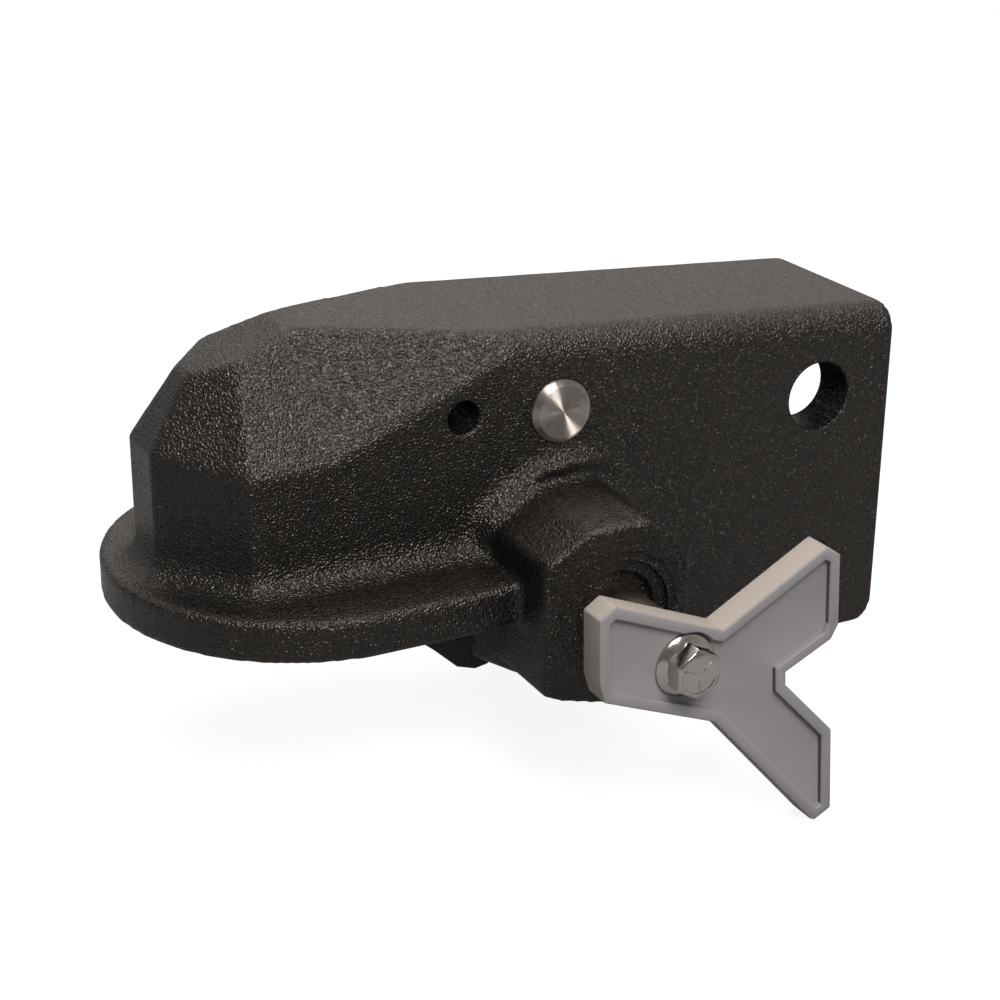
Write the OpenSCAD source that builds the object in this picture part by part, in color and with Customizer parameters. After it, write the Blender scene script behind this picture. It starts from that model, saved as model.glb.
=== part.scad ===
// Trailer coupling head with a spring loaded side latch.
// The origin is the centre of the towing ball, +X runs back to the trailer,
// +Z is up and the latch handle is on the -Y side. All sizes are millimetres.

/* [Ball] */
// Diameter of the towing ball
ball_d = 58.74; // [50:0.1:62]
// Radial room between the ball and its socket
ball_gap = 0.5; // [0.3:0.1:1]

/* [Body] */
// Width of the body between the trailer's side plates
body_w = 76.2; // [74:0.1:84]
// Distance from the ball's centre to the rear end
rear_x = 206.15; // [202:0.5:240]
// Height of the top at the rear end
rear_z = 63.5; // [61:0.1:66]
// Height of the top over the pivot pin, where the crown starts
crown_z = 72.1; // [71:0.1:75]
// Height of the highest line, over the ball
peak_z = 76.2; // [76:0.1:79]
// Height of the lower edge of the side walls
low_z = -56; // [-60:0.5:-54]
// Thickness of the side walls
wall = 15.9; // [14:0.1:17]
// Radius along the two long upper edges
edge_r = 9.5; // [6:0.5:11]
// Radius of the lower rear corner of the side walls
corner_r = 8; // [5:0.5:11]
// Room left in the rear end under the top
rear_roof = 13; // [10:0.5:16]
// Thickness of the cross wall behind the latch
web_t = 8; // [6:0.5:12]

/* [Nose] */
// Distance from the ball's centre to the flat front
nose_x = 53.8; // [52:0.1:55]
// Half width of the flat front
nose_half = 10.2; // [8:0.1:13]
// Height of the front's upper edge
brow_z = 42.4; // [40:0.1:43]
// Set back of the corner where the side wall begins
cheek_x = 31.8; // [30:0.1:34]
// Height of that corner
cheek_z = 39.7; // [38:0.1:41]

/* [Flange] */
// Radius of the round flange
flange_r = 66.1; // [64:0.1:70]
// Length of its straight part
flange_run = 31; // [26:0.5:34]
// Height of the flange's upper face
flange_top = 1.1; // [0:0.1:4]
// Thickness of the flange
flange_t = 14.1; // [11:0.1:16]
// Size of the hollow fillet between flange and wall
cove = 8; // [5:0.5:9]

/* [Pivot pin] */
// Pin centre behind the ball
pin_x = 74.3; // [73:0.1:76]
// Pin centre above the ball
pin_z = 45.7; // [44:0.1:47]
// Pin diameter
pin_d = 20.96; // [18:0.01:22]
// How far each end of the pin stands out
pin_out = 2.2; // [1:0.1:4]
// Outer diameter of the bushes in the clamp
bush_d = 26; // [24:0.1:27]

/* [Holes] */
// Diameter of the two bolt holes at the rear
bolt_hole_d = 23.8; // [16:0.1:26]
// Bolt hole centres behind the ball
bolt_hole_x = 176.3; // [170:0.1:180]
// Upper bolt hole above the ball
bolt_hole_z = 34.8; // [33:0.1:36]
// Distance between the two bolt holes
bolt_pitch = 66.7; // [60:0.1:68]
// Diameter of the lock pin hole
lock_d = 10.8; // [8:0.1:12]
// Lock pin hole behind the ball
lock_x = 39.7; // [38:0.1:41]
// Lock pin hole above the ball
lock_z = 48.4; // [47:0.1:50]

/* [Clamp] */
// Outer radius of the clamp's eye
eye_r = 18; // [16:0.5:18.5]
// Side room between clamp and chamber
side_gap = 1.2; // [0.8:0.1:1.6]
// Height of the clamp's lower end
clamp_low = -49.6; // [-52:0.1:-48]

/* [Latch] */
// Latch centre behind the ball
latch_x = 73.5; // [73:0.1:75]
// Latch centre above the ball
latch_z = -8.8; // [-11:0.1:-8]
// Diameter of the latch plunger
plunger_d = 31; // [29:0.1:32]
// Diameter of the plunger's far tip
tip_d = 11; // [10:0.1:12]
// Half length of the plunger's cone
cone_half = 20; // [19:0.5:21]
// Length of the plunger's straight part
drum_l = 10; // [8:0.5:12]
// Diameter of the pull shaft
shaft_d = 19; // [17:0.1:20]
// Diameter of the cross pin that holds the plunger on its shaft
cross_d = 4; // [3:0.1:5]
// Pull of the latch
stroke = 30; // [25:1:30]
// Wire diameter of the latch spring
wire_d = 2.4; // [1.8:0.1:2.6]
// Number of turns of the latch spring
spring_turns = 4; // [3:0.5:4]

/* [Latch boss] */
// Distance of the boss's face from the ball
boss_y = 80; // [78:0.5:84]
// Half width of the eight sided head
boss_w = 26.7; // [25:0.1:28]
// Half height of the head
boss_h = 30.4; // [28:0.1:32]
// Length of the straight head
boss_l = 37.4; // [36:0.1:38]
// Diameter of the cap in the face
cap_d = 40; // [38:0.1:42]
// Thickness of the cap
cap_t = 4.4; // [4:0.1:5]

/* [Handle] */
// Distance of the handle's back from the ball
handle_y = 110; // [108:0.5:116]
// Thickness of the handle
handle_t = 10; // [8:0.5:12]
// Width of the stem of the fork
stem_w = 29; // [27:0.5:32]
// Slope of the stem
stem_tilt = 22.3; // [18:0.1:26]
// From the bolt to the stem's end
stem_end = 31; // [28:0.5:36]
// From the bolt to the ends of the two arms
arm_end = 55; // [52:0.5:62]
// Height of the upper arm's end
arm_top = 29.4; // [27:0.1:33]
// Depth of the lower arm's end
arm_low = 66.6; // [62:0.1:72]
// Width of the raised rim
rim_w = 3.7; // [2.5:0.1:5]
// Depth of the panel inside the rim
panel_t = 2; // [1:0.1:3]
// Diameter of the handle bolt
bolt_d = 9.5; // [8:0.1:10]
// Diameter of the bolt's flange
bolt_flange = 20.6; // [18:0.1:22]
// Width of the bolt's hexagon across its flats
hex_af = 14.3; // [13:0.1:15]
// Height of the bolt's head
bolt_head = 8.6; // [7:0.1:10]

/* [Hidden] */
$fn = 72;
fit = 0.06;
air = 0.3;
ride = 0.4;
half = body_w / 2;
room = half - wall;
ball_r = ball_d / 2;
socket_r = ball_r + ball_gap;
flange_low = flange_top - flange_t;
clamp_half = room - side_gap;
pin_r = pin_d / 2;
bore_r = plunger_d / 2 + fit;
tip_r = tip_d / 2;
cone_rise = (plunger_d - tip_d) / 2 / (2 * cone_half);
drum_y = -cone_half - drum_l;
big = 400;
steel = [0.62, 0.62, 0.63];
black = [0.09, 0.09, 0.09];
web_x = latch_x + 30.5;
top_slope = (crown_z - rear_z) / (rear_x - 70);

// corner points of the faceted nose, near side
E = [-nose_x, -nose_half, brow_z];
D = [-cheek_x, -half, cheek_z];
A = [-nose_x + 14.4, -nose_half + 5, brow_z + 22.3];
G = [-7.2, -nose_half - 0.5, peak_z];
H = [-10, -half, cheek_z - 1.1];
P = [45, -half, crown_z - 10.3];
Q = [-27, -nose_half - 9.1, peak_z - 11.7];

// removes all that lies beyond the plane through three points
module beyond(a, b, c) {
    n0 = cross(b - a, c - a);
    n = n0 / norm(n0) * (n0[2] < 0 ? -1 : 1);
    translate(a) rotate([0, acos(n[2]), atan2(n[1], n[0])])
        translate([-big / 2, -big / 2, 0]) cube([big, big, big]);
}

module both() { children(); mirror([0, 1, 0]) children(); }

module along_y(y0, y1, r, x, z, n = 72) {
    translate([x, y0, z]) rotate([-90, 0, 0]) cylinder(h = y1 - y0, r = r, $fn = n);
}

// plan outline of the nose and walls, grown by g
function cut(p, u, q, v) = let (k = ((q[0] - p[0]) * v[1] - (q[1] - p[1]) * v[0])
    / (u[0] * v[1] - u[1] * v[0])) p + k * u;
function plan(g, tail) = let (
    u = [cheek_x - nose_x, nose_half - half] * -1,
    m = [-u[1], u[0]] / norm(u),
    s = [-nose_x, nose_half] + g * m,
    e = cut([-nose_x - g, 0], [0, 1], s, u),
    d = cut([0, half + g], [1, 0], s, u))
    [e, d, [tail, half + g], [tail, -half - g], [d[0], -d[1]], [e[0], -e[1]]];

module side_profile() {
    // side view of the casting, x to the rear and y up
    c = [rear_x - corner_r, low_z + corner_r];
    polygon(concat([[-nose_x, flange_low], [-nose_x, brow_z], [A[0], A[2]], [G[0], peak_z],
        [rear_x, peak_z + 5]], [for (a = [0 : -15 : -90]) c + corner_r * [cos(a), sin(a)]],
        [[74, low_z], [56, -40], [44, -27], [34, flange_low]]));
}

module long_edges() {
    // rounded section that follows the slope of the top
    translate([rear_x, 0, rear_z]) rotate([0, atan(top_slope), 0]) rotate([90, 0, -90])
    translate([0, 0, -20]) linear_extrude(rear_x + 110) {
        for (s = [-1, 1]) translate([s * (half - edge_r), -edge_r]) circle(edge_r);
        translate([-half + edge_r, -170]) square([body_w - 2 * edge_r, 170]);
        translate([-half, -170]) square([body_w, 170 - edge_r]);
    }
}

module cast_body() {
    difference() {
        intersection() {
            rotate([90, 0, 0]) translate([0, 0, -half]) linear_extrude(body_w) side_profile();
            translate([0, 0, -100]) linear_extrude(220) polygon(plan(0, rear_x));
            long_edges();
        }
        both() beyond(E, A, D);
        // the two side facets meet in a shallow valley
        both() intersection() { beyond(G, Q, D); beyond(G, H, P); }
    }
}

module flange() {
    translate([0, 0, flange_low]) {
        cylinder(h = flange_t, r = flange_r, $fn = 120);
        translate([flange_run, 0, 0]) cylinder(h = flange_t, r = flange_r, $fn = 120);
        translate([0, -flange_r, 0]) cube([flange_run, 2 * flange_r, flange_t]);
    }
    // hollow fillet in three steps
    steps = [[1, 0], [0.5, 0.16], [0.18, 0.46], [0, 1]];
    for (i = [0 : 2]) hull() for (k = [i, i + 1])
        translate([0, 0, flange_top - 0.5 + cove * steps[k][1]])
            linear_extrude(0.5) polygon(plan(cove * steps[k][0], 50));
}

module head_outline() {
    w = boss_w;
    h = boss_h;
    polygon([[-9.6, h], [10.4, h], [w - 1, h - 13.4], [w - 1, 13.4 - h], [11, -h], [-4, -h],
        [-19.3, 4 - h], [-w, 7.4 - h], [-w, h - 9.5]]);
}

module pad_outline(grow) {
    offset(delta = grow) polygon([[-29.5, 8], [-28.1, 21.7], [-20.9, 29.1], [-6.5, 36.3],
        [6.5, 37.2], [17.8, 36], [25.6, 29.7], [36, 13.1], [43, 0], [39, -22], [26, -33],
        [-12, -35], [-27, -26]]);
}

module boss() {
    translate([latch_x, 0, latch_z]) rotate([90, 0, 0]) {
        translate([0, 0, boss_y - boss_l]) linear_extrude(boss_l) head_outline();
        // low pad under the head, with a sloped rim down to the wall
        hull() {
            translate([0, 0, half - 4]) linear_extrude(4.3) pad_outline(2.4);
            translate([0, 0, half - 4]) linear_extrude(boss_y - boss_l - half + 4.4) pad_outline(0);
        }
    }
}

// where the clamp's upper seat ends, and the tangent from there to the eye
seat = [26, 15];
seat_d = [pin_x, pin_z] - seat;
seat_a = atan2(seat_d[1], seat_d[0]) + asin(eye_r / norm(seat_d));
seat_l = sqrt(norm(seat_d) * norm(seat_d) - eye_r * eye_r);
brow = seat + seat_l * [cos(seat_a), sin(seat_a)];
off = [-sin(seat_a), cos(seat_a)];

module chamber() {
    // room for the swinging clamp, open below
    rotate([90, 0, 0]) translate([0, 0, -room]) linear_extrude(2 * room) {
        polygon([[14, low_z - 30], [14, 14], seat + off, brow + off, [pin_x, pin_z],
            [pin_x + 13.8, pin_z + 13.2], [web_x, pin_z - 12],
            [web_x, low_z - 30]]);
        translate([pin_x, pin_z]) circle(eye_r + 1);
    }
}

module rear_channel() {
    z1 = rear_z - rear_roof;
    translate([web_x + web_t, -room, low_z - 30]) cube([rear_x, 2 * room, z1 - low_z + 30]);
}

module housing() {
    color(black) difference() {
        union() {
            cast_body();
            flange();
            boss();
        }
        // socket for the ball and its flared mouth
        sphere(r = socket_r, $fn = 96);
        translate([0, 0, flange_low - 1]) cylinder(h = -flange_low + 1, r = socket_r, $fn = 96);
        translate([0, 0, flange_low - 0.01]) cylinder(h = 5, r1 = socket_r + 5, r2 = socket_r, $fn = 96);
        chamber();
        rear_channel();
        // pivot pin, bolt holes and lock pin hole
        along_y(-half - 1, half + 1, pin_r + fit, pin_x, pin_z);
        for (z = [bolt_hole_z, bolt_hole_z - bolt_pitch])
            along_y(-half - 1, half + 1, bolt_hole_d / 2, bolt_hole_x, z);
        along_y(-half - 1, half + 1, lock_d / 2, lock_x, lock_z);
        // latch bore, its far pilot and the seats of cap and ring
        along_y(-boss_y - 1, 0, bore_r, latch_x, latch_z);
        along_y(0, room + 11, tip_r + fit, latch_x, latch_z);
        along_y(-boss_y - 1, -boss_y + cap_t + 1.6, cap_d / 2 + fit, latch_x, latch_z);
        along_y(-boss_y + 0.5, -boss_y + 1.9, cap_d / 2 + 1.3, latch_x, latch_z);
    }
}

module pivot_pin() {
    l = half + pin_out;
    c = 1.6;
    color(steel) translate([pin_x, 0, pin_z]) rotate([-90, 0, 0])
        rotate_extrude() polygon([[0, -l], [pin_r - c, -l], [pin_r, -l + c],
            [pin_r, l - c], [pin_r - c, l], [0, l]]);
}

module clamp_profile() {
    translate([pin_x, pin_z]) circle(eye_r);
    polygon([[20.4, -20.8], [26, -30.5], [36.8, -39], [45.8, -47.4], [52.6, clamp_low],
        [58, clamp_low + 0.9], [80, clamp_low + 2], [80, pin_z - 20], [pin_x + eye_r, pin_z - 4],
        [pin_x, pin_z], brow, seat, [20, 12]]);
}

module ball_clamp() {
    // slanted where it rides on the cone, then straight and clear of the tip
    s0 = [latch_x - plunger_d / 2 - ride, -cone_half];
    x1 = latch_x - tip_r - ride - cone_rise * stroke;
    s1 = [x1, -cone_half + (x1 - s0[0]) / cone_rise];
    color([0.2, 0.2, 0.21]) difference() {
        rotate([90, 0, 0]) translate([0, 0, -clamp_half]) linear_extrude(2 * clamp_half)
            clamp_profile();
        sphere(r = ball_r + 0.3, $fn = 96);
        along_y(-half, half, bush_d / 2, pin_x, pin_z);
        // slanted back that rides on the latch cone
        translate([0, 0, -80]) linear_extrude(80 + pin_z - eye_r + 1) polygon([[s0[0], -40], s0, s1,
            [s1[0], 40], [120, 40], [120, -40]]);
        translate([0, 0, pin_z - eye_r - 3]) linear_extrude(20)
            polygon([[pin_x + 2, -40], [pin_x + 2, 40], [120, 40], [120, -40]]);
    }
}

module bush(y0, y1) {
    color([0.7, 0.52, 0.25]) difference() {
        along_y(y0, y1, bush_d / 2, pin_x, pin_z);
        along_y(y0 - 1, y1 + 1, pin_r + fit, pin_x, pin_z);
    }
}

module bush_near() { bush(-clamp_half, -1); }
module bush_far() { bush(1, clamp_half); }

// turned piece on the latch axis, points are radius and distance along Y
module turned(points) {
    translate([latch_x, 0, latch_z]) rotate([-90, 0, 0]) rotate_extrude() polygon(points);
}

module latch_plunger() {
    spigot = shaft_d / 2 - 3.5;
    color([0.45, 0.45, 0.46]) difference() {
        turned([[spigot + 0.05, drum_y], [plunger_d / 2, drum_y], [plunger_d / 2, -cone_half],
            [tip_r, cone_half], [tip_r, room + 8.3], [tip_r - 1, room + 9.3], [0, room + 9.3],
            [0, -4], [spigot + 0.05, -4]]);
        translate([latch_x, drum_y + drum_l / 2, latch_z - plunger_d]) cylinder(h = 2 * plunger_d, r = cross_d / 2);
    }
}

module pull_shaft() {
    spigot = shaft_d / 2 - 3.5;
    r = shaft_d / 2;
    color(steel) difference() {
        turned([[0, -handle_y], [r - 0.8, -handle_y], [r, -handle_y + 0.8], [r, drum_y],
            [spigot, drum_y], [spigot, -4.2], [0, -4.2]]);
        along_y(-handle_y - 1, -handle_y + 26, bolt_d / 2 + 0.05, latch_x, latch_z);
        translate([latch_x, drum_y + drum_l / 2, latch_z - plunger_d]) cylinder(h = 2 * plunger_d, r = cross_d / 2);
    }
}

module shaft_pin() {
    color([0.3, 0.3, 0.3])
        translate([latch_x, drum_y + drum_l / 2, latch_z - plunger_d / 2 + 1])
            cylinder(h = plunger_d - 2, r = cross_d / 2, $fn = 32);
}

module spring_seat() {
    r0 = shaft_d / 2 + fit;
    color(steel) turned([[r0, drum_y - air - 2], [plunger_d / 2, drum_y - air - 2],
        [plunger_d / 2, drum_y - air], [r0, drum_y - air]]);
}

// one closed coil along Y, swept with eight sides
module coil(y0, y1, r, w, turns) {
    n = 20;
    m = 8;
    last = round(turns * n);
    y = function (i) y0 + w + (y1 - y0 - 2 * w) * i / last;
    pts = [for (i = [0 : last], k = [0 : m - 1]) let (
        t = 360 * i / n, u = 360 * k / m, q = r + w * cos(u))
        [q * cos(t), y(i) + w * sin(u), q * sin(t)]];
    sides = [for (i = [0 : last - 1], k = [0 : m - 1]) let (
        a = i * m + k, b = i * m + (k + 1) % m) [a, b, b + m, a + m]];
    ends = [[for (k = [m - 1 : -1 : 0]) k], [for (k = [0 : m - 1]) last * m + k]];
    polyhedron(points = pts, faces = concat(sides, ends), convexity = 10);
}

module plunger_spring() {
    y0 = -boss_y + cap_t + 1.6 + 0.05;
    y1 = drum_y - air - 2 - 0.05;
    color([0.5, 0.5, 0.52]) translate([latch_x, 0, latch_z])
        coil(y0, y1, (shaft_d + plunger_d) / 4 + 0.2, wire_d / 2, spring_turns);
}

module bore_cap() {
    y0 = -boss_y + 1.6;
    r0 = shaft_d / 2 + fit;
    color(black) turned([[r0, y0 + cap_t], [cap_d / 2, y0 + cap_t], [cap_d / 2, y0 + 0.4],
        [r0 + 4.9, y0 + 0.4], [r0 + 4.2, y0 + 1.1], [r0 + 4.2, y0 + cap_t - 1.4],
        [r0, y0 + cap_t - 1.4]]);
}

module cap_ring() {
    y0 = -boss_y + 0.6;
    color([0.25, 0.25, 0.25]) difference() {
        turned([[cap_d / 2 - 1.8, y0], [cap_d / 2 + 1.2, y0], [cap_d / 2 + 1.2, y0 + 1.2],
            [cap_d / 2 - 1.8, y0 + 1.2]]);
        translate([latch_x - 2.5, y0 - 1, latch_z - cap_d]) cube([5, 4, cap_d]);
    }
}

// outline of the forked handle, seen from its front, bolt at the origin
module fork() {
    t = tan(stem_tilt);
    s = stem_w / 2 / cos(stem_tilt);
    top = function (x) s - 1.4 - t * x;
    bot = function (x) -s - 1.4 - t * x;
    polygon([[-stem_end + 5.2, top(-stem_end + 5.2)], [-stem_end, top(-stem_end) - 5.6],
        [-stem_end + 0.6, bot(-stem_end + 0.6) + 5.4], [-stem_end + 2.6, bot(-stem_end + 2.6) - 0.4],
        [10.65, bot(10.65)], [arm_end - 5.3, -arm_low + 0.8], [arm_end - 3.6, -arm_low],
        [arm_end + 2.4, -arm_low + 3], [arm_end + 0.3, -34.7], [36.5, -14.7], [36.2, -10.2],
        [arm_end - 2.4, -2.4], [arm_end, 2.2], [arm_end - 1.3, arm_top - 3.4],
        [arm_end - 6.6, arm_top], [12.2, top(12.2)]]);
}

module handle() {
    color([0.5, 0.49, 0.48]) translate([latch_x, -handle_y, latch_z]) difference() {
        rotate([90, 0, 0]) linear_extrude(handle_t) fork();
        rotate([90, 0, 0]) translate([0, 0, handle_t - panel_t]) linear_extrude(handle_t)
            offset(delta = -rim_w) fork();
        rotate([90, 0, 0]) translate([0, 0, -1]) cylinder(h = handle_t + 2, r = bolt_d / 2 + 0.25);
        rotate([90, 0, 0]) translate([0, 0, handle_t - panel_t])
            cylinder(h = handle_t, r = bolt_flange / 2 + 0.6);
    }
}

module handle_bolt() {
    y0 = handle_y + handle_t - panel_t;
    rf = bolt_flange / 2;
    color([0.75, 0.75, 0.76]) translate([latch_x, -y0, latch_z]) rotate([90, 0, 0]) {
        rotate_extrude() polygon([[0, -handle_t - 14], [bolt_d / 2 - 1, -handle_t - 14],
            [bolt_d / 2, -handle_t - 13], [bolt_d / 2, 0], [rf, 0], [rf, 1.1], [rf - 2.6, 2.6],
            [0, 2.6]]);
        intersection() {
            cylinder(h = bolt_head, r = hex_af / 2 / cos(30), $fn = 6);
            rotate_extrude() polygon([[0, 0], [hex_af / 2 + 1.6, 0], [hex_af / 2 + 1.6, bolt_head - 1.2],
                [hex_af / 2 - 0.4, bolt_head], [0, bolt_head]]);
        }
    }
}

housing();
pivot_pin();
ball_clamp();
bush_near();
bush_far();
latch_plunger();
pull_shaft();
shaft_pin();
spring_seat();
plunger_spring();
bore_cap();
cap_ring();
handle();
handle_bolt();
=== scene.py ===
import bpy
import bmesh
import math
import numpy as np
from mathutils import Matrix, Vector


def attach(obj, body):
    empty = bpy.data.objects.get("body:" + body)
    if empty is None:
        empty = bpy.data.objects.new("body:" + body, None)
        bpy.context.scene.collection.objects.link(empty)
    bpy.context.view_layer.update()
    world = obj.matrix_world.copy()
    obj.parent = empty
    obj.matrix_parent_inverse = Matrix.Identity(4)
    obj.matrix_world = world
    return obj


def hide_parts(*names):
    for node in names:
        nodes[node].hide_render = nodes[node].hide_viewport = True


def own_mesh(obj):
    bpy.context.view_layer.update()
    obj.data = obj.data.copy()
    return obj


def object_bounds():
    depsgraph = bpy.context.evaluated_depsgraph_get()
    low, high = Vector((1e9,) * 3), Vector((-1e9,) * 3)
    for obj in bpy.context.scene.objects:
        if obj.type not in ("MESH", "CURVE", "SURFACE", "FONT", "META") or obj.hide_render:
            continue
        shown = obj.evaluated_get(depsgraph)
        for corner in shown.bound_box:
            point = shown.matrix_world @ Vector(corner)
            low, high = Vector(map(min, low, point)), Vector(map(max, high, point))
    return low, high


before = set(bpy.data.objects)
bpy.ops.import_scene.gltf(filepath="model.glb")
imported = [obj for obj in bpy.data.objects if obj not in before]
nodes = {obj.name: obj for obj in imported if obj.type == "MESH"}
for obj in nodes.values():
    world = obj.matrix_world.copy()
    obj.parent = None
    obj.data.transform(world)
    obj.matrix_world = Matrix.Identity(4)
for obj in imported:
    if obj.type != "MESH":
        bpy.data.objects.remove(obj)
scene = bpy.context.scene
MM = 0.001


def corners(b):
    return [[float(x) for x in c] for c in b]


cad_box = corners(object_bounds())

# ---------------------------------------------------------------- sizes
# the same as in the solids, in millimetres: (x, z) of each axis along Y, and radii
PIN = (74.3, 45.7)
PIN_R = 10.48
LOCK = (39.7, 48.4)
LOCK_R = 5.4
LATCH = (73.5, -8.8)
PLUNGER_BORE_R = 15.6
PLUNGER_BORE_END = -60
CAP_BORE_R = 20.1
CAP_BORE_FLOOR = -74
HEAD_FACE = -80.05
BOLTS = ((176.3, 34.8), (176.3, -31.9))
BOLT_HOLE_R = 11.9
HALF = 38.1  # half the housing's width
ROOM = 22.2  # half the width of the room inside it
# outlines of the latch head and of the pad under it, about the latch axis
HEAD = ((-9.6, 30.4), (10.4, 30.4), (25.7, 17), (25.7, -17), (11, -30.4), (-4, -30.4),
        (-19.3, -26.4), (-26.7, -23), (-26.7, 20.9))
PAD = ((-29.5, 8), (-28.1, 21.7), (-20.9, 29.1), (-6.5, 36.3), (6.5, 37.2), (17.8, 36),
       (25.6, 29.7), (36, 13.1), (43, 0), (39, -22), (26, -33), (-12, -35), (-27, -26))
# the handle's sunk panel lies between these two depths, in metres; its outer sides run deeper
PANEL_Y = -0.1175
STEP_Y = -0.1187

# ---------------------------------------------------------------- camera, fitted to the photo
CAM_AZIMUTH, CAM_ELEVATION, CAM_ROLL = (math.radians(a) for a in (-28.171, 21.927, 0.751))
CAM_PLACE = (-0.23485, -0.58524, 0.27178)
CAM_LENS = 74.85
CAM_SHIFT = (-0.0155, -0.0125)
WHITE = (1, 1, 1, 1)


def make_camera():
    flat = math.cos(CAM_ELEVATION)
    back = Vector((math.sin(CAM_AZIMUTH) * flat, -math.cos(CAM_AZIMUTH) * flat,
                   math.sin(CAM_ELEVATION)))
    level = Vector((math.cos(CAM_AZIMUTH), math.sin(CAM_AZIMUTH), 0))
    upright = back.cross(level)
    right = math.cos(CAM_ROLL) * level + math.sin(CAM_ROLL) * upright
    up = -math.sin(CAM_ROLL) * level + math.cos(CAM_ROLL) * upright
    data = bpy.data.cameras.new("camera")
    data.sensor_width = 36
    data.lens = CAM_LENS
    data.shift_x, data.shift_y = CAM_SHIFT
    data.clip_start = 0.01
    cam = bpy.data.objects.new("camera", data)
    scene.collection.objects.link(cam)
    pose = Matrix((right, up, back)).transposed().to_4x4()
    pose.translation = Vector(CAM_PLACE)
    cam.matrix_world = pose
    scene.camera = cam


# ---------------------------------------------------------------- shader helpers
def material(name):
    mat = bpy.data.materials.new(name)
    mat.use_nodes = True
    nt = mat.node_tree
    return mat, nt, nt.nodes["Principled BSDF"]


def feed(nt, socket, value):
    """link the socket to value if that is a socket too, or else set it"""
    if isinstance(value, bpy.types.NodeSocket):
        nt.links.new(value, socket)
    else:
        socket.default_value = value


def coords(nt):
    return nt.nodes.new("ShaderNodeTexCoord").outputs["Object"]


def attribute(nt, name):
    n = nt.nodes.new("ShaderNodeAttribute")
    n.attribute_name = name
    return n.outputs["Fac"]


def noise(nt, co, scale, detail=3.0, rough=0.55):
    n = nt.nodes.new("ShaderNodeTexNoise")
    n.inputs["Scale"].default_value = scale
    n.inputs["Detail"].default_value = detail
    n.inputs["Roughness"].default_value = rough
    nt.links.new(co, n.inputs["Vector"])
    return n.outputs["Fac"]


def ramp(nt, fac, low, high, ends=(0.3, 0.7)):
    """from low to high as fac goes from one end to the other; each is a colour or a level"""
    n = nt.nodes.new("ShaderNodeValToRGB")
    for stop, place, value in zip(n.color_ramp.elements, ends, (low, high)):
        stop.position = place
        stop.color = (*value, 1) if isinstance(value, tuple) else (value, value, value, 1)
    nt.links.new(fac, n.inputs["Fac"])
    return n.outputs["Color"]


def mix_colors(nt, fac, a, b, how="MIX"):
    n = nt.nodes.new("ShaderNodeMix")
    n.data_type = "RGBA"
    n.blend_type = how
    for name, value in (("Factor", fac), ("A", a), ("B", b)):
        feed(nt, n.inputs[name], value)
    return n.outputs["Result"]


def math_node(nt, how, a, b):
    n = nt.nodes.new("ShaderNodeMath")
    n.operation = how
    feed(nt, n.inputs[0], a)
    feed(nt, n.inputs[1], b)
    return n.outputs[0]


def bump(nt, height, strength, distance, normal=None):
    n = nt.nodes.new("ShaderNodeBump")
    n.inputs["Strength"].default_value = strength
    n.inputs["Distance"].default_value = distance
    nt.links.new(height, n.inputs["Height"])
    if normal is not None:
        nt.links.new(normal, n.inputs["Normal"])
    return n.outputs["Normal"]


# ---------------------------------------------------------------- materials
def powder_coat(name, tone=1.0):
    """black powder coat on a cast skin; its fine grain is steep and smooth, so that it glints"""
    mat, nt, b = material(name)
    co = coords(nt)
    grain = noise(nt, co, 1420, 0.6, 0.5)
    lumps = noise(nt, co, 480, 2.0, 0.5)
    cast = noise(nt, co, 90, 2.0, 0.5)
    broad = noise(nt, co, 22, 3.0, 0.5)
    base = ramp(nt, broad, tuple(tone * x for x in (0.0026, 0.0024, 0.0022)),
                tuple(tone * x for x in (0.0040, 0.0037, 0.0034)))
    speck = ramp(nt, grain, 0.0, (0.010, 0.0097, 0.0094), (0.52, 0.72))
    nt.links.new(mix_colors(nt, 1.0, base, speck, "ADD"), b.inputs["Base Color"])
    nt.links.new(ramp(nt, lumps, 0.2, 0.3, (0.36, 0.62)), b.inputs["Roughness"])
    skin = bump(nt, cast, 0.25, 0.0008)
    skin = bump(nt, lumps, 0.3, 0.0005, skin)
    skin = bump(nt, grain, 1.0, 0.00072, skin)
    nt.links.new(skin, b.inputs["Normal"])
    b.inputs["Specular IOR Level"].default_value = 0.5
    b.inputs["Specular Tint"].default_value = (1.0, 0.95, 0.91, 1.0)
    return mat


def turning_marks(nt, co, centre):
    """fine rings about an axis along Y"""
    place = nt.nodes.new("ShaderNodeMapping")
    place.inputs["Location"].default_value = (-centre[0] * MM, 0, -centre[1] * MM)
    nt.links.new(co, place.inputs["Vector"])
    w = nt.nodes.new("ShaderNodeTexWave")
    w.wave_type = "RINGS"
    w.rings_direction = "Y"
    w.inputs["Scale"].default_value = 900
    w.inputs["Distortion"].default_value = 1.0
    w.inputs["Detail"].default_value = 2.0
    nt.links.new(place.outputs["Vector"], w.inputs["Vector"])
    return w.outputs["Fac"]


def metal(name, color, rough, grain, turned_about=None):
    mat, nt, b = material(name)
    b.inputs["Metallic"].default_value = 1.0
    co = coords(nt)
    broad = noise(nt, co, 60, 2.0)
    nt.links.new(ramp(nt, broad, tuple(0.9 * x for x in color), color), b.inputs["Base Color"])
    height = noise(nt, co, 900, 2.0)
    nt.links.new(ramp(nt, height, rough * 0.8, rough * 1.25), b.inputs["Roughness"])
    if turned_about is not None:
        height = turning_marks(nt, co, turned_about)
        b.inputs["Anisotropic"].default_value = 1.0
        b.inputs["Anisotropic Rotation"].default_value = 0.25
        t = nt.nodes.new("ShaderNodeTangent")
        t.direction_type = "RADIAL"
        t.axis = "Y"
        nt.links.new(t.outputs["Tangent"], b.inputs["Tangent"])
    nt.links.new(bump(nt, height, grain, 0.00005), b.inputs["Normal"])
    return mat


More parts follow.
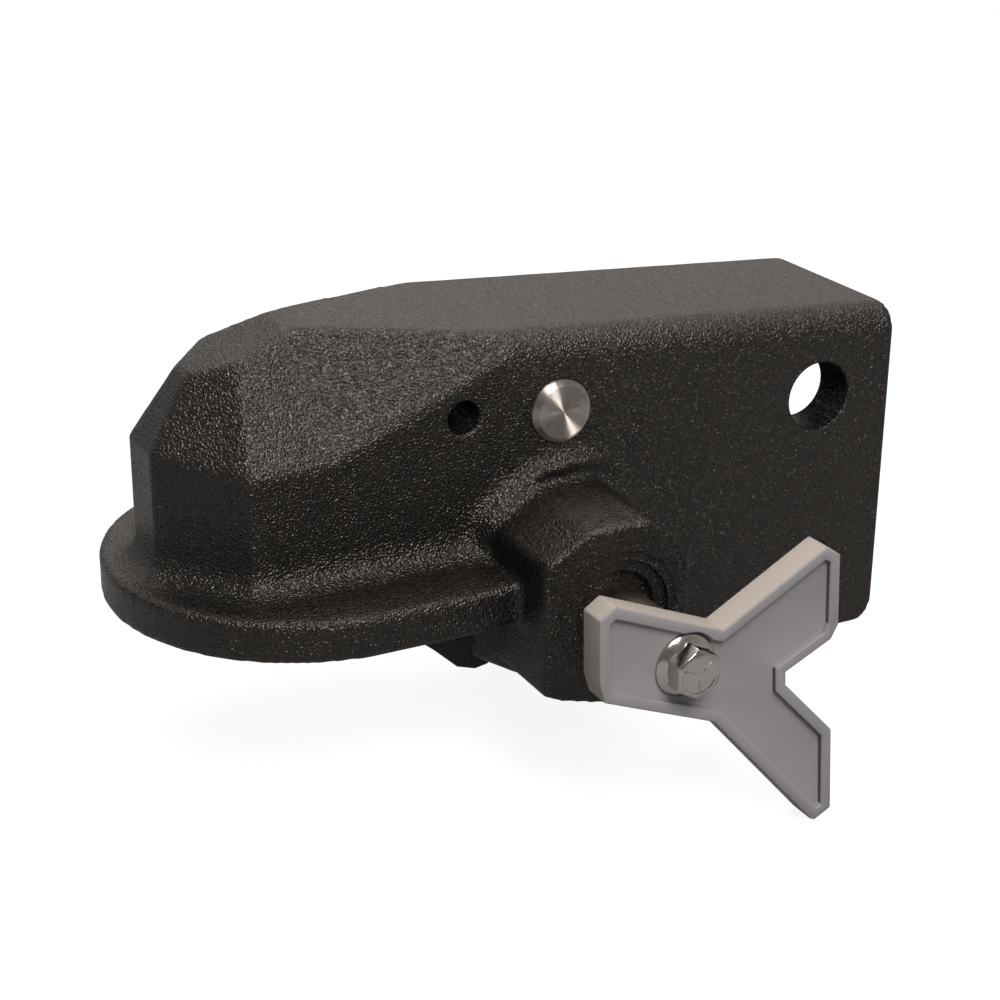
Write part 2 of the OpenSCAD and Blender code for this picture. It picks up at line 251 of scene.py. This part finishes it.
def satin_grey(name):
    """handle in grey paint; painted light makes its outer sides lighter and warmer, and painted
    shade darkens the step down to its panel
    """
    mat, nt, b = material(name)
    co = coords(nt)
    broad = noise(nt, co, 35, 3.0)
    fine = noise(nt, co, 1500, 2.0)
    color = ramp(nt, broad, (0.199, 0.202, 0.216), (0.222, 0.225, 0.241))
    # painted light: the outer sides get a lighter, warmer base, as if a side light fell on them
    color = mix_colors(nt, attribute(nt, "painted_side_light"), color, (0.285, 0.265, 0.245, 1))
    # painted shade: the step walls down to the panel that don't face up get a near-black base
    color = mix_colors(nt, attribute(nt, "painted_step_shade"), color, (0.075, 0.074, 0.078, 1))
    nt.links.new(color, b.inputs["Base Color"])
    nt.links.new(ramp(nt, fine, 0.42, 0.56), b.inputs["Roughness"])
    nt.links.new(bump(nt, fine, 0.35, 0.0001), b.inputs["Normal"])
    b.inputs["Specular IOR Level"].default_value = 0.35
    return mat


def white_floor(name):
    """reads as white to the camera and dim in reflections, and takes the part's shadow"""
    mat, nt, b = material(name)
    b.inputs["Base Color"].default_value = (0.2, 0.2, 0.2, 1)
    b.inputs["Roughness"].default_value = 0.9
    b.inputs["Specular IOR Level"].default_value = 0.1
    rays = nt.nodes.new("ShaderNodeLightPath").outputs
    glow = nt.nodes.new("ShaderNodeEmission")
    glow.inputs["Color"].default_value = WHITE
    seen = math_node(nt, "MULTIPLY", rays["Is Camera Ray"], 0.9)
    mirrored = math_node(nt, "MULTIPLY", rays["Is Glossy Ray"], 0.12)
    nt.links.new(math_node(nt, "ADD", seen, mirrored), glow.inputs["Strength"])
    add = nt.nodes.new("ShaderNodeAddShader")
    nt.links.new(b.outputs["BSDF"], add.inputs[0])
    nt.links.new(glow.outputs[0], add.inputs[1])
    nt.links.new(add.outputs[0], nt.nodes["Material Output"].inputs["Surface"])
    return mat


# ---------------------------------------------------------------- mesh helpers
def new_object(name, mesh):
    o = bpy.data.objects.new(name, mesh)
    scene.collection.objects.link(o)
    return o


def dress(obj, mat):
    obj.data.materials.clear()
    obj.data.materials.append(mat)


def finish_mesh(name, bm):
    """an object from a bmesh of closed shapes, its faces turned outward"""
    bmesh.ops.recalc_face_normals(bm, faces=bm.faces)
    mesh = bpy.data.meshes.new(name)
    bm.to_mesh(mesh)
    bm.free()
    return new_object(name, mesh)


def apply_mods(o):
    dg = bpy.context.evaluated_depsgraph_get()
    mesh = bpy.data.meshes.new_from_object(o.evaluated_get(dg))
    old = o.data
    o.modifiers.clear()
    o.data = mesh
    bpy.data.meshes.remove(old)


def combine(o, others, how):
    """exact booleans of the others with o, which are then removed"""
    bpy.context.view_layer.update()
    for other in others:
        mod = o.modifiers.new(other.name, "BOOLEAN")
        mod.operation = how
        mod.solver = "EXACT"
        mod.object = other
    apply_mods(o)
    for other in others:
        bpy.data.objects.remove(other)


def smooth_shade(o, angle):
    o.data.polygons.foreach_set("use_smooth", [True] * len(o.data.polygons))
    o.data.set_sharp_from_angle(angle=math.radians(angle))


def lathe_y(name, points, centre, steps=96):
    """closed lathe about an axis along Y; points are radius and y in mm"""
    bm = bmesh.new()
    x, z = centre
    n = len(points)
    rings = []
    for i in range(steps):
        a = 2 * math.pi * i / steps
        rings.append([bm.verts.new(((x + r * math.cos(a)) * MM, y * MM,
                                    (z + r * math.sin(a)) * MM)) for r, y in points])
    for i in range(steps):
        p, q = rings[i], rings[(i + 1) % steps]
        for k in range(n):
            j = (k + 1) % n
            on_axis = k == n - 1 and points[k][0] == 0 and points[j][0] == 0
            if not on_axis:
                bm.faces.new((p[k], q[k], q[j], p[j]))
    bmesh.ops.remove_doubles(bm, verts=bm.verts, dist=1e-7)
    return finish_mesh(name, bm)


def rod(name, radius, y0, y1, centre, steps=32):
    return lathe_y(name, [(0, y0), (radius, y0), (radius, y1), (0, y1)], centre, steps)


def flared(name, radius, y_face, rounding, centre, steps=96):
    """cutter: a bore from y_face to the middle plane, its mouth rounded"""
    s = -1 if y_face > 0 else 1
    arc = [(radius + rounding * (1 - math.sin(t)), y_face + s * rounding * (1 - math.cos(t)))
           for t in (0, math.pi / 8, math.pi / 4, 3 * math.pi / 8, math.pi / 2)]
    outside = y_face - s * 8
    points = [(0, outside), (radius + rounding, outside)] + arc + [(radius, 0), (0, 0)]
    return lathe_y(name, points, centre, steps)


# ---------------------------------------------------------------- cast housing
VOXEL = 1.45
# smoothing by pairs of passes, one that shrinks and one that swells back
SMOOTH_PASSES = 16
SMOOTH_PAIR = (0.6, -0.56)
PAD_BAND = (36.2, 48)  # how far from the middle plane the pad's skin lies
PAD_TOP = 6  # its height over the wall, at most
VALLEY = 3.4  # the pad's drop behind its ridge
RUN_OUT = 0.8  # the share of its height that it loses at its rear
PAD_REACH = ((23, 5), (50, 6))  # softened from the first radius to the second; how gradually
PAD_PASSES = 8
PAD_STRENGTH = 0.5


def ease(x, low, high):
    t = np.clip((x - low) / (high - low), 0, 1)
    return t * t * (3 - 2 * t)


def edge_distance(points, outline):
    """distance to a closed outline, below zero inside it"""
    best = np.full(len(points), 1e9)
    inside = np.zeros(len(points), bool)
    for (ax, ay), (bx, by) in zip(outline, outline[1:] + outline[:1]):
        a, d = np.array((ax, ay)), np.array((bx - ax, by - ay))
        k = np.clip((points - a) @ d / (d @ d), 0, 1)[:, None]
        best = np.minimum(best, np.linalg.norm(points - a - k * d, axis=1))
        y = points[:, 1]
        cross = (ay > y) != (by > y)
        if by != ay:
            inside ^= cross & (points[:, 0] < ax + (y - ay) * (bx - ax) / (by - ay))
    return np.where(inside, -best, best)


def housing_without_holes():
    """the housing's solid, its machined holes filled, remeshed as one even skin"""
    mesh = nodes["housing"].data.copy()
    cast = new_object("cast_housing", mesh)
    over = PIN_R + 1
    fillers = [
        rod("fill_pin_near", over, -HALF, -ROOM, PIN),
        rod("fill_pin_far", over, ROOM, HALF, PIN),
        rod("fill_lock", LOCK_R + 1, -HALF, HALF, LOCK),
        lathe_y("fill_latch", [(0, -80), (22, -80), (22, -60), (17, -60), (17, -ROOM),
                               (0, -ROOM)], LATCH, 48),
    ]
    for centre in BOLTS:
        fillers.append(rod("fill_bolt", 13, -HALF, -ROOM, centre))
        fillers.append(rod("fill_bolt", 13, ROOM, HALF, centre))
    bpy.context.view_layer.update()
    bm = bmesh.new()
    bm.from_mesh(mesh)
    for f in fillers:
        bm.from_mesh(f.data)
        bpy.data.objects.remove(f)
    bm.to_mesh(mesh)
    bm.free()
    mod = cast.modifiers.new("voxel", "REMESH")
    mod.mode = "VOXEL"
    mod.voxel_size = VOXEL * MM
    apply_mods(cast)
    return cast


def in_pad_band(co):
    return (co[:, 1] < -PAD_BAND[0] * MM) * (co[:, 1] > -PAD_BAND[1] * MM)


def shape_pad(co, uv):
    """the pad drops behind its ridge, and runs out into the wall on its rear side"""
    out_head = edge_distance(uv, HEAD)
    in_pad = -edge_distance(uv, PAD)
    angle = np.degrees(np.arctan2(uv[:, 1], uv[:, 0]))
    on_pad = in_pad_band(co) * (out_head > 0)
    drop = VALLEY * ease(in_pad, 1.2, 3.8) * ease(out_head, 0, 1.5)
    drop *= ease(angle, 50, 65) * ease(-angle, -125, -112)
    height = np.clip(-co[:, 1] / MM - HALF, 0, PAD_TOP) - drop
    run_out = RUN_OUT * ease(-angle, -84, -58) * ease(angle, -50, -20)
    run_out *= ease(out_head, 0, 1.5)
    height = np.clip(height, 0, PAD_TOP) * run_out
    co[:, 1] += on_pad * (drop + height) * MM


def soften_cast(mesh):
    """rounded cast edges, and a pad with broad and soft ones"""
    n = len(mesh.vertices)
    co = np.zeros(n * 3)
    mesh.vertices.foreach_get("co", co)
    co = co.reshape(-1, 3)
    edges = np.zeros(len(mesh.edges) * 2, int)
    mesh.edges.foreach_get("vertices", edges)
    edges = edges.reshape(-1, 2)
    degree = np.bincount(edges.ravel(), minlength=n)[:, None]

    def to_neighbours():
        total = np.stack([np.bincount(edges[:, 0], co[edges[:, 1], a], n)
                          + np.bincount(edges[:, 1], co[edges[:, 0], a], n)
                          for a in range(3)], 1)
        return total / degree - co

    for k in range(SMOOTH_PASSES):
        co = co + SMOOTH_PAIR[k % 2] * to_neighbours()
    uv = np.stack((co[:, 0] / MM - LATCH[0], co[:, 2] / MM - LATCH[1]), 1)
    shape_pad(co, uv)
    radius = np.hypot(uv[:, 0], uv[:, 1])
    (inner, inner_fade), (outer, outer_fade) = PAD_REACH
    near = np.clip((radius - inner) / inner_fade, 0, 1)
    near *= np.clip((outer - radius) / outer_fade, 0, 1) * in_pad_band(co)
    near = near[:, None]
    for k in range(PAD_PASSES):
        co = co + PAD_STRENGTH * near * to_neighbours()
    # the skin stays within the solid's own box
    solid = nodes["housing"]
    box = np.array([solid.matrix_world @ v.co for v in solid.data.vertices])
    co = np.clip(co, box.min(0), box.max(0))
    mesh.vertices.foreach_set("co", co.ravel())
    mesh.update()


def make_housing():
    cast = housing_without_holes()
    soften_cast(cast.data)
    near, far = -HALF - 0.05, HALF + 0.05
    cutters = [
        flared("cut_pin_near", PIN_R + 0.12, near, 0.5, PIN),
        flared("cut_pin_far", PIN_R + 0.12, far, 0.5, PIN),
        flared("cut_lock_near", LOCK_R, near, 1.2, LOCK, 64),
        flared("cut_lock_far", LOCK_R, far, 1.2, LOCK, 64),
        flared("cut_plunger", PLUNGER_BORE_R, PLUNGER_BORE_END, 0.1, LATCH),
        lathe_y("cut_cap", [(0, -95), (21.4, -95), (21.4, HEAD_FACE), (20.3, -79.2),
                            (CAP_BORE_R, -78.9), (CAP_BORE_R, CAP_BORE_FLOOR),
                            (0, CAP_BORE_FLOOR)], LATCH),
        rod("cut_spring_room", PLUNGER_BORE_R, -60.5, -75, LATCH, 96),
    ]
    for centre in BOLTS:
        cutters.append(flared("cut_bolt_near", BOLT_HOLE_R, near, 1.3, centre))
        cutters.append(flared("cut_bolt_far", BOLT_HOLE_R, far, 1.3, centre))
    combine(cast, cutters, "DIFFERENCE")
    smooth_shade(cast, 42)
    dress(cast, COAT)
    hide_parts("housing")
    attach(cast, "head")


# ---------------------------------------------------------------- softened copies
SHARP = 28  # edges that turn by more degrees than this are rounded


def soften(name, width, body, mat, hollow=0.3):
    """copy of a solid with small rounded edges; hollow is the share in inner corners"""
    me = nodes[name].data.copy()
    bm = bmesh.new()
    bm.from_mesh(me)
    bmesh.ops.remove_doubles(bm, verts=bm.verts, dist=1e-6)
    bmesh.ops.dissolve_limit(bm, angle_limit=math.radians(1.0), verts=bm.verts,
                             edges=bm.edges)
    weight = bm.edges.layers.float.new("bevel_weight_edge")
    for edge in bm.edges:
        if len(edge.link_faces) == 2 and edge.calc_face_angle() > math.radians(SHARP):
            edge[weight] = 1.0 if edge.is_convex else hollow
    bm.to_mesh(me)
    bm.free()
    o = new_object(name + "_soft", me)
    b = o.modifiers.new("edge", "BEVEL")
    b.width = width * MM
    b.segments = 3
    b.limit_method = "WEIGHT"
    b.miter_outer = "MITER_ARC"
    apply_mods(o)
    smooth_shade(o, 50)
    dress(o, mat)
    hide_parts(name)
    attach(o, body)
    return o


def mark_handle_faces(handle):
    """face attributes that satin_grey reads: painted light on the outer sides, painted shade on
    the step walls that don't face up
    """
    mesh = handle.data
    side = mesh.attributes.new("painted_side_light", "FLOAT", "FACE")
    step = mesh.attributes.new("painted_step_shade", "FLOAT", "FACE")
    for poly in mesh.polygons:
        deep = max(mesh.vertices[v].co.y for v in poly.vertices)
        steep = abs(poly.normal.y) < 0.6
        # painted shade on the step walls that face down or sideways; those facing up keep the
        # grey
        in_step_shade = PANEL_Y > deep > STEP_Y and poly.normal.z < 0.25
        # painted light on the steep outer sides
        side.data[poly.index].value = float(steep and deep > PANEL_Y)
        step.data[poly.index].value = float(steep and in_step_shade)


# ---------------------------------------------------------------- flange bolt
BOLT_SEAT = -118.0  # where the flange rests on the handle
BOLT_TOP = 8.6
HEX_FLAT = 7.15  # half the width across flats
HEX_TURN = 32
MARK_TURNS = (38, 158, 278)
MARK_REACH = (2.4, 5.2)
MARK_HALF = (0.42, 0.28)  # half a mark's width at its foot and at its top
FLANGED_SHANK = ((0, -24), (3.75, -24), (4.75, -23), (4.75, 0), (10.3, 0), (10.3, 0.8),
                 (10.0, 1.15), (8.9, 1.7), (7.6, 2.6), (0, 2.6))
HEAD_CHAMFER = ((0, 0), (8.9, 0), (8.9, BOLT_TOP - 1.35), (6.9, BOLT_TOP - 0.15),
                (6.5, BOLT_TOP), (6.1, BOLT_TOP - 0.05), (5.7, BOLT_TOP - 0.35),
                (0, BOLT_TOP - 0.35))


def prism(name, low, high):
    """closed prism between two rings of (x, z), each at its own height over the seat"""
    bm = bmesh.new()
    rings = [[bm.verts.new((u * MM, (BOLT_SEAT - h) * MM, v * MM)) for u, v in ring]
             for h, ring in (low, high)]
    n = len(rings[0])
    bm.faces.new(rings[0])
    bm.faces.new(rings[1][::-1])
    for k in range(n):
        j = (k + 1) % n
        bm.faces.new((rings[0][k], rings[1][k], rings[1][j], rings[0][j]))
    return finish_mesh(name, bm)


def mark_ring(turn, half):
    """corners of a radial mark of the bolt head"""
    x, z = LATCH
    c, s = math.cos(math.radians(turn)), math.sin(math.radians(turn))
    near, end = MARK_REACH
    return [(x + q * c - w * s, z + q * s + w * c)
            for q, w in ((near, -half), (end, -half), (end, half), (near, half))]


def make_bolt():
    """hex bolt with a sloped flange, a chamfered head and three raised radial marks"""
    x, z = LATCH

    def turned(name, points):
        return lathe_y(name, [(r, BOLT_SEAT - h) for r, h in points], LATCH)

    bolt = turned("flange_bolt", FLANGED_SHANK)
    corner = HEX_FLAT / math.cos(math.pi / 6)
    turns = [math.radians(HEX_TURN + 60 * k) for k in range(6)]
    hexagon = [(x + corner * math.cos(t), z + corner * math.sin(t)) for t in turns]
    head = prism("hex", (1, hexagon), (BOLT_TOP, hexagon))
    combine(head, [turned("chamfer", HEAD_CHAMFER)], "INTERSECT")
    combine(bolt, [head], "UNION")
    for turn in MARK_TURNS:
        foot, top = (mark_ring(turn, half) for half in MARK_HALF)
        mark = prism("mark", (BOLT_TOP - 0.8, foot), (BOLT_TOP - 0.1, top))
        combine(bolt, [mark], "UNION")
    b = bolt.modifiers.new("edge", "BEVEL")
    b.width = 0.16 * MM
    b.segments = 2
    b.limit_method = "ANGLE"
    b.angle_limit = math.radians(24)
    apply_mods(bolt)
    smooth_shade(bolt, 50)
    dress(bolt, ZINC)
    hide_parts("handle_bolt")
    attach(bolt, "puller")


# ---------------------------------------------------------------- latch spring
def make_spring():
    """a copy of the CAD's coil with a mesh of its own, in spring wire, carried with the head"""
    coil = nodes["plunger_spring"]
    spring = new_object("latch_spring", coil.data.copy())
    spring.matrix_world = coil.matrix_world.copy()
    dress(spring, SPRING)
    smooth_shade(spring, 60)
    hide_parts("plunger_spring")
    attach(spring, "head")
    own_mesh(spring)


# ---------------------------------------------------------------- stage and light
FLOOR_HALF = 6.0
FLOOR_GAP = 0.0005
FILL = (0.30, 0.285, 0.275, 1)
ROOM_FRONT = (0.16, 0.154, 0.15, 1)
BACKDROP = (0.56, 0.53, 0.51, 1)
ROOM_DEPTH = (0.5, 0.866, 0)  # from the room in front of the part to the backdrop
WARM = (1.0, 0.90, 0.82)


def make_floor():
    z = min(c[2] for c in cad_box) - FLOOR_GAP
    r = FLOOR_HALF
    mesh = bpy.data.meshes.new("floor")
    mesh.from_pydata([(-r, -r, z), (r, -r, z), (r, r, z), (-r, r, z)], [], [(0, 1, 2, 3)])
    floor = new_object("floor", mesh)
    dress(floor, white_floor("floor_white"))


def make_world():
    """white to the camera; reflections see a pale backdrop and a dimmer room in front"""
    world = bpy.data.worlds.new("studio")
    scene.world = world
    world.use_nodes = True
    nt = world.node_tree
    rays = nt.nodes.new("ShaderNodeLightPath").outputs
    along = nt.nodes.new("ShaderNodeVectorMath")
    along.operation = "DOT_PRODUCT"
    along.inputs[1].default_value = ROOM_DEPTH
    nt.links.new(nt.nodes.new("ShaderNodeTexCoord").outputs["Generated"], along.inputs[0])
    depth = nt.nodes.new("ShaderNodeMapRange")
    depth.inputs["From Min"].default_value = -0.6
    depth.inputs["From Max"].default_value = 0.6
    nt.links.new(along.outputs["Value"], depth.inputs["Value"])
    tone = mix_colors(nt, depth.outputs["Result"], ROOM_FRONT, BACKDROP)
    tone = mix_colors(nt, rays["Is Glossy Ray"], FILL, tone)
    tone = mix_colors(nt, rays["Is Transmission Ray"], tone, WHITE)
    tone = mix_colors(nt, rays["Is Camera Ray"], tone, WHITE)
    nt.links.new(tone, nt.nodes["Background"].inputs["Color"])


def area(name, place, target, size, power, color):
    d = bpy.data.lights.new(name, "AREA")
    d.shape = "RECTANGLE"
    d.size, d.size_y = size
    d.energy = power
    d.color = color
    o = bpy.data.objects.new(name, d)
    scene.collection.objects.link(o)
    o.location = place
    away = Vector(target) - Vector(place)
    o.rotation_euler = away.to_track_quat("-Z", "Y").to_euler()


# ---------------------------------------------------------------- build
COAT = powder_coat("powder_coat")
CLAMP = powder_coat("clamp_coat", 1.3)
STAINLESS = metal("stainless_turned", (0.54, 0.515, 0.495), 0.42, 0.1, PIN)
SHAFT = metal("shaft_ground", (0.27, 0.245, 0.22), 0.34, 0.25)
ZINC = metal("zinc_bright", (0.52, 0.515, 0.50), 0.16, 0.25)
BRONZE = metal("bronze", (0.55, 0.36, 0.16), 0.35, 0.3)
DARK = metal("phosphate_steel", (0.022, 0.021, 0.021), 0.45, 0.4)
SPRING = metal("spring_wire", (0.35, 0.35, 0.37), 0.3, 0.2)
PLUNGER = metal("plunger_steel", (0.45, 0.45, 0.46), 0.3, 0.3)
GREY = satin_grey("handle_grey")

make_camera()
make_housing()
make_bolt()
mark_handle_faces(soften("handle", 0.85, "puller", GREY, 0.2))
soften("ball_clamp", 1.6, "clamp", CLAMP)
make_spring()

# the CAD's own nodes that stay
for name, mat in (("pivot_pin", STAINLESS), ("bush_near", BRONZE), ("bush_far", BRONZE),
                  ("latch_plunger", PLUNGER), ("pull_shaft", SHAFT), ("shaft_pin", DARK),
                  ("spring_seat", PLUNGER), ("bore_cap", COAT), ("cap_ring", COAT)):
    for slot in nodes[name].material_slots:
        slot.material = mat
for name in ("pivot_pin", "pull_shaft", "bore_cap", "latch_plunger"):
    nodes[name].modifiers.new("shade", "WEIGHTED_NORMAL").keep_sharp = True

make_floor()
make_world()
area("key_box", (-0.07, -0.93, 0.99), (0.04, -0.02, 0.02), (0.62, 0.66), 22, (1.0, 0.92, 0.845))
area("top_box", (0.3, 0.5, 1.2), (0.05, 0, 0.02), (1.0, 0.8), 10.5, WARM)
area("left_box", (-1.25, -0.4, 0.95), (0.0, -0.05, 0.0), (0.5, 0.4), 0.3, WARM)

scene.view_settings.view_transform = "Standard"
